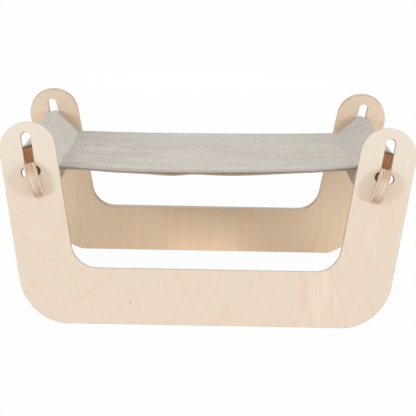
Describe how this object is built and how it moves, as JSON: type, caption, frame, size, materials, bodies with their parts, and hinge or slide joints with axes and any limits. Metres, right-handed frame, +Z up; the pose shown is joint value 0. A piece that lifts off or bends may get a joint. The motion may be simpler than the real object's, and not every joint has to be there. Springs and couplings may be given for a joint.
{
  "type": "cat hammock",
  "caption": "Low cat hammock: splayed U-shaped plywood frames, crossbars hooked into keyholes, and a taut canvas sling between them.",
  "frame": {"origin": "on the floor, at the middle of the footprint", "axes": "+X along the longest side, to the right seen from the front; +Y to the rear frame; +Z up"},
  "size_m": [0.521, 0.45, 0.2471],
  "materials": {
    "birch_plywood": "clear matt lacquer on sanded birch plywood",
    "canvas": "grey-beige melange canvas",
    "under_canvas": "grey-beige canvas, under layer"
  },
  "bodies": {
    "root": {"front_frame": "birch_plywood", "rear_frame": "birch_plywood", "bed_upper": "canvas", "bed_under": "under_canvas"},
    "left_bar": {"left_crossbar": "birch_plywood", "left_pocket": "canvas"},
    "right_bar": {"right_crossbar": "birch_plywood", "right_pocket": "canvas"}
  },
  "joints": [
    {"name": "left_bar_tilt", "type": "hinge", "parent": "root", "child": "left_bar", "pos_m": [-0.22081, 0, 0.18549], "axis": [0, 1, 0], "range_deg": [-10, 10], "stiffness_Nm_per_rad": 0.8},
    {"name": "right_bar_tilt", "type": "hinge", "parent": "root", "child": "right_bar", "pos_m": [0.22081, 0, 0.18549], "axis": [0, -1, 0], "range_deg": [-10, 10], "stiffness_Nm_per_rad": 0.8}
  ]
}
